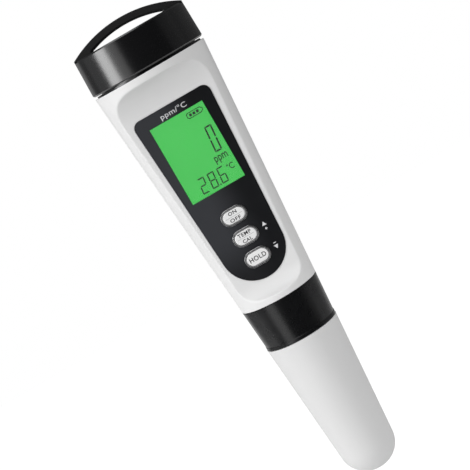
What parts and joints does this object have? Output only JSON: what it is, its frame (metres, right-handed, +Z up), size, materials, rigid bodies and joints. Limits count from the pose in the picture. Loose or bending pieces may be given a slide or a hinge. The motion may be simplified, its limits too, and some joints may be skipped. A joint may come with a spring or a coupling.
{
  "type": "chlorine meter",
  "caption": "Pen-type chlorine and temperature tester with a backlit display, keys, a screwed battery cap with lanyard loop, a screwed-on sensor and a protective cap.",
  "frame": {"origin": "tip of the protective cap, on the barrel's axis, at the foot of the bounding box", "axes": "+Z up the barrel towards the lanyard loop, -Y out of the display, +X to the right of someone facing the display"},
  "size_m": [0.0419, 0.0418, 0.1771],
  "materials": {
    "white_shell": "satin white moulded plastic",
    "black_shell": "semi-gloss black moulded plastic",
    "faceplate_black": "satin printed plastic plate",
    "clear_window": "clear pane",
    "display_green": "backlit liquid crystal cell",
    "light_panel": "milky light guide",
    "key_white": "glossy white key",
    "key_silver": "satin plated rim",
    "frame_black": "moulded frame",
    "board_green": "solder-masked circuit board",
    "chip_black": "moulded chip",
    "connector_rubber": "striped conductive rubber",
    "seal_rubber": "black seal rubber",
    "cell_steel": "nickel-plated steel",
    "contact_brass": "plated brass",
    "screw_steel": "zinc-plated steel",
    "probe_glass": "clear glass tube",
    "probe_metal": "bright metal",
    "junction_ceramic": "porous ceramic"
  },
  "bodies": {
    "case": {"housing": "white_shell", "faceplate": "faceplate_black", "display_window": "clear_window", "lcd_glass": "display_green", "lcd_holder": "frame_black", "backlight_panel": "light_panel", "zebra_strip_upper": "connector_rubber", "zebra_strip_lower": "connector_rubber", "main_board": "board_green", "processor_chip": "chip_black", "amplifier_chip": "chip_black", "board_socket": "chip_black", "inner_frame": "frame_black", "frame_screws": "screw_steel", "battery_tray": "frame_black", "cell_strap": "contact_brass", "battery_lid": "frame_black", "neck_ring": "black_shell", "cell_spring_1": "contact_brass", "cell_spring_2": "contact_brass", "key_ring_power": "key_silver", "switch_body_power": "chip_black", "key_ring_calibrate": "key_silver", "switch_body_calibrate": "chip_black", "key_ring_hold": "key_silver", "switch_body_hold": "chip_black", "button_cell_1": "cell_steel", "button_cell_2": "cell_steel", "button_cell_3": "cell_steel", "button_cell_4": "cell_steel"},
    "gasket": {"cap_gasket": "seal_rubber"},
    "cap": {"battery_cap": "black_shell"},
    "sensor": {"sensor_body": "black_shell", "sensor_pins": "contact_brass", "plug_o_ring": "seal_rubber", "spigot_o_ring": "seal_rubber", "probe_glass": "probe_glass", "metal_ring": "probe_metal", "temperature_sleeve": "probe_metal", "reference_junction": "junction_ceramic", "sensor_guard": "black_shell"},
    "collar": {"locking_collar": "black_shell"},
    "probe_cap": {"protective_cap": "white_shell"},
    "key_power": {"key_power": "key_white", "switch_plunger_power": "chip_black"},
    "key_calibrate": {"key_calibrate": "key_white", "switch_plunger_calibrate": "chip_black"},
    "key_hold": {"key_hold": "key_white", "switch_plunger_hold": "chip_black"}
  },
  "joints": [
    {"name": "cap_rise", "type": "slide", "parent": "case", "child": "gasket", "axis": [0, 0, 1], "range_m": [0, 0.008]},
    {"name": "cap_turn", "type": "hinge", "parent": "gasket", "child": "cap", "pos_m": [0, 0, 0.1645], "axis": [0, 0, 1], "range_deg": [0, 960]},
    {"name": "sensor_drop", "type": "slide", "parent": "case", "child": "sensor", "axis": [0, 0, -1], "range_m": [0, 0.006]},
    {"name": "collar_turn", "type": "hinge", "parent": "sensor", "child": "collar", "pos_m": [0, 0, 0.0626], "axis": [0, 0, -1], "range_deg": [0, 1080]},
    {"name": "probe_cap_pull", "type": "slide", "parent": "sensor", "child": "probe_cap", "axis": [0, 0, -1], "range_m": [0, 0.06]},
    {"name": "press_power", "type": "slide", "parent": "case", "child": "key_power", "axis": [0, 0.9998, 0.0201], "range_m": [0, 0.0004], "stiffness_N_per_m": 500, "springref_m": -0.001},
    {"name": "press_calibrate", "type": "slide", "parent": "case", "child": "key_calibrate", "axis": [0, 0.9998, 0.0201], "range_m": [0, 0.0004], "stiffness_N_per_m": 500, "springref_m": -0.001},
    {"name": "press_hold", "type": "slide", "parent": "case", "child": "key_hold", "axis": [0, 0.9998, 0.0201], "range_m": [0, 0.0004], "stiffness_N_per_m": 500, "springref_m": -0.001}
  ],
  "couplings": [
    {"joint": "cap_rise", "follows": "cap_turn", "m_per_rad": 0.00047746},
    {"joint": "sensor_drop", "follows": "collar_turn", "m_per_rad": 0.00031831}
  ]
}
